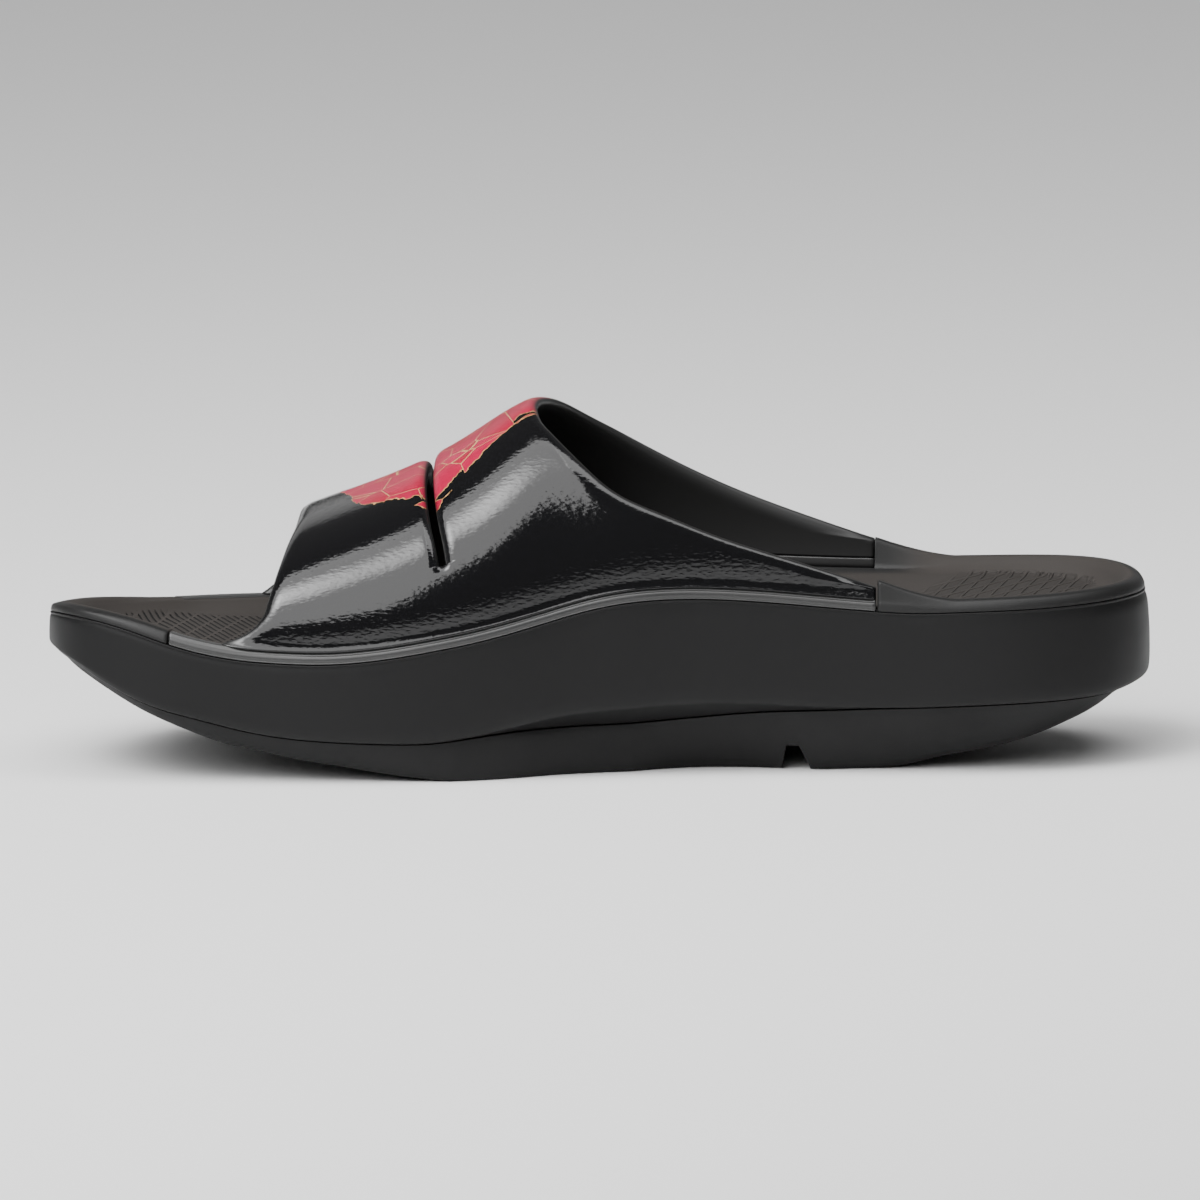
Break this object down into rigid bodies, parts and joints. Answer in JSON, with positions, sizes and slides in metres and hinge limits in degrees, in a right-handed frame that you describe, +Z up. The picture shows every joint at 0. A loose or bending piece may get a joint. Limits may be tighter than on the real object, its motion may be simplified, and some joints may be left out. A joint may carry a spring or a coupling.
{
  "type": "slide sandal",
  "caption": "Right-foot slide sandal of moulded foam: glossy strap with a slot across the instep, cupped footbed, tall rocker sole.",
  "frame": {"origin": "on the floor under the middle of the whole outline's length and width", "axes": "+X from toe to heel, +Y away from the arch side, +Z up from the floor that the sandal stands on"},
  "size_m": [0.2708, 0.1006, 0.0881],
  "materials": {
    "upper_film": "glossy film with a fine leather grain over foam",
    "footbed_foam": "matte foam with pressed texture at toe and heel",
    "sidewall_foam": "satin moulded foam",
    "tread_foam": "slightly grainy moulded foam"
  },
  "bodies": {
    "root": {"upper": "upper_film", "footbed": "footbed_foam", "midsole": "sidewall_foam", "outsole": "tread_foam"}
  },
  "joints": []
}
